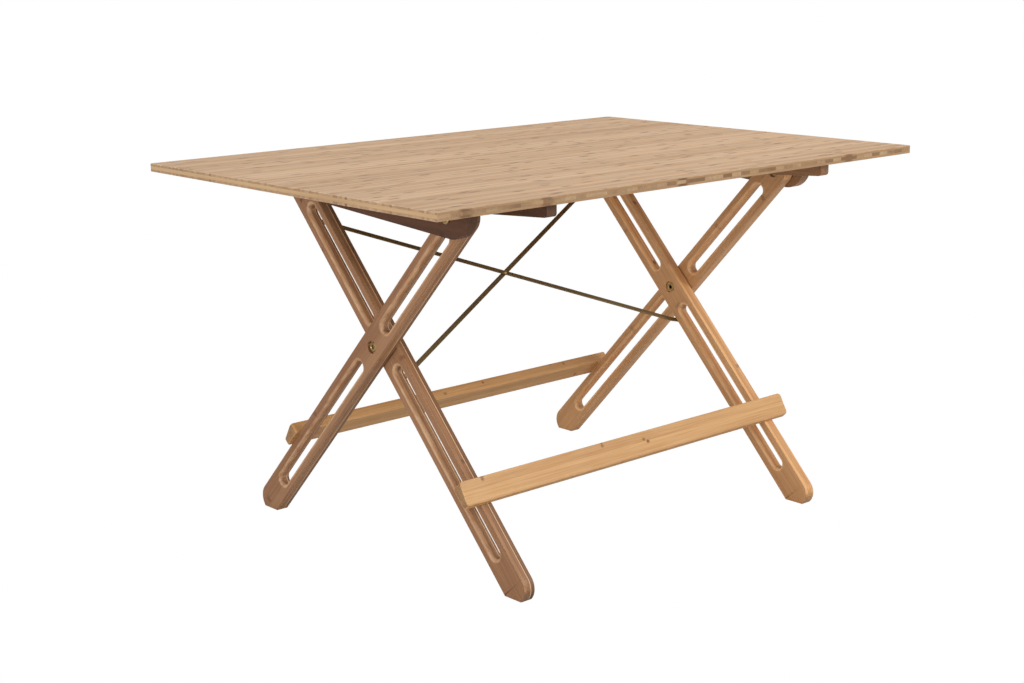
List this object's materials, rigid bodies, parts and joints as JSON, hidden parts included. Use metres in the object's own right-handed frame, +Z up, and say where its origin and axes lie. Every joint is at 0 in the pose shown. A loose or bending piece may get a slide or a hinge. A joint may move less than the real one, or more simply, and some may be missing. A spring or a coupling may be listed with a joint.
{
  "type": "folding picnic table",
  "caption": "Bamboo folding picnic table: split lift-off top on swing-down rails, crossed slotted legs, wedge stretchers and crossed brace straps.",
  "frame": {"origin": "on the floor under the middle of the table's box, table standing open", "axes": "+X along the table's length, -Y to the front, where the stretcher is on the inner legs, +Z up"},
  "size_m": [1.21, 0.84, 0.7],
  "materials": {
    "top_bamboo": "clear oiled light bamboo, fine strips along the length",
    "leg_bamboo": "satin caramel laminated bamboo",
    "rail_bamboo": "satin caramel laminated bamboo",
    "stretcher_bamboo": "satin golden bamboo",
    "dowel_wood": "plain hardwood dowel",
    "brass": "satin brass",
    "dark_steel": "dark bronzed steel"
  },
  "bodies": {
    "frame_inner": {"leg_inner_left": "leg_bamboo", "leg_inner_right": "leg_bamboo", "stretcher_front": "stretcher_bamboo", "stretcher_dowel_front_left_lower": "dowel_wood", "stretcher_dowel_front_left_upper": "dowel_wood", "pivot_bolt_centre_left": "brass", "pivot_bolt_inner_left": "brass", "pivot_nut_centre_left": "brass", "pivot_nut_inner_left": "brass", "pivot_washer_centre_left": "dark_steel", "pivot_washer_inner_left": "dark_steel", "stretcher_dowel_front_right_lower": "dowel_wood", "stretcher_dowel_front_right_upper": "dowel_wood", "pivot_bolt_centre_right": "brass", "pivot_bolt_inner_right": "brass", "pivot_nut_centre_right": "brass", "pivot_nut_inner_right": "brass", "pivot_washer_centre_right": "dark_steel", "pivot_washer_inner_right": "dark_steel", "brace_strap_falling": "dark_steel", "brace_screw_falling_left": "dark_steel", "brace_screw_falling_right": "dark_steel", "brace_strap_rising": "dark_steel", "brace_screw_rising_left": "dark_steel", "brace_screw_rising_right": "dark_steel", "brace_rivet": "brass"},
    "frame_outer": {"leg_outer_left": "leg_bamboo", "leg_outer_right": "leg_bamboo", "stretcher_back": "stretcher_bamboo", "stretcher_dowel_back_left_lower": "dowel_wood", "stretcher_dowel_back_left_upper": "dowel_wood", "pivot_bolt_outer_left": "brass", "pivot_nut_outer_left": "brass", "pivot_washer_outer_left": "dark_steel", "stretcher_dowel_back_right_lower": "dowel_wood", "stretcher_dowel_back_right_upper": "dowel_wood", "pivot_bolt_outer_right": "brass", "pivot_nut_outer_right": "brass", "pivot_washer_outer_right": "dark_steel"},
    "rail_outer_left": {"rail_outer_left": "rail_bamboo"},
    "rail_inner_left": {"rail_inner_left": "rail_bamboo", "top_peg_front_left": "dowel_wood", "top_peg_back_left": "dowel_wood"},
    "rail_outer_right": {"rail_outer_right": "rail_bamboo"},
    "rail_inner_right": {"rail_inner_right": "rail_bamboo", "top_peg_front_right": "dowel_wood", "top_peg_back_right": "dowel_wood"},
    "top_back": {"top_board_back": "top_bamboo", "seam_barrel_back_left": "brass", "seam_barrel_back_middle": "brass", "seam_barrel_back_right": "brass"},
    "top_front": {"top_board_front": "top_bamboo", "seam_barrel_front_left": "brass", "seam_barrel_front_middle": "brass", "seam_barrel_front_right": "brass"}
  },
  "joints": [
    {"name": "frame_fold", "type": "hinge", "parent": "frame_inner", "child": "frame_outer", "pos_m": [0, 0, 0.3888], "axis": [-1, 0, 0], "range_deg": [0, 86]},
    {"name": "rail_outer_left_swing", "type": "hinge", "parent": "frame_outer", "child": "rail_outer_left", "pos_m": [-0.432, -0.24753, 0.65295], "axis": [-1, 0, 0], "range_deg": [0, 46.5]},
    {"name": "rail_inner_left_swing", "type": "hinge", "parent": "frame_inner", "child": "rail_inner_left", "pos_m": [-0.353, 0.24753, 0.65295], "axis": [1, 0, 0], "range_deg": [0, 46.5]},
    {"name": "rail_outer_right_swing", "type": "hinge", "parent": "frame_outer", "child": "rail_outer_right", "pos_m": [0.432, -0.24753, 0.65295], "axis": [-1, 0, 0], "range_deg": [0, 46.5]},
    {"name": "rail_inner_right_swing", "type": "hinge", "parent": "frame_inner", "child": "rail_inner_right", "pos_m": [0.353, 0.24753, 0.65295], "axis": [1, 0, 0], "range_deg": [0, 46.5]},
    {"name": "top_lift", "type": "slide", "parent": "frame_inner", "child": "top_back", "axis": [0, 0, 1], "range_m": [0, 0.571]},
    {"name": "top_fold", "type": "hinge", "parent": "top_back", "child": "top_front", "pos_m": [0, 0, 0.7002], "axis": [-1, 0, 0], "range_deg": [0, 179]}
  ],
  "couplings": [
    {"joint": "rail_outer_left_swing", "follows": "frame_fold", "ratio": 0.54},
    {"joint": "rail_inner_left_swing", "follows": "frame_fold", "ratio": 0.54},
    {"joint": "rail_outer_right_swing", "follows": "frame_fold", "ratio": 0.54},
    {"joint": "rail_inner_right_swing", "follows": "frame_fold", "ratio": 0.54},
    {"joint": "top_lift", "follows": "frame_fold", "m_per_rad": 0.38}
  ]
}
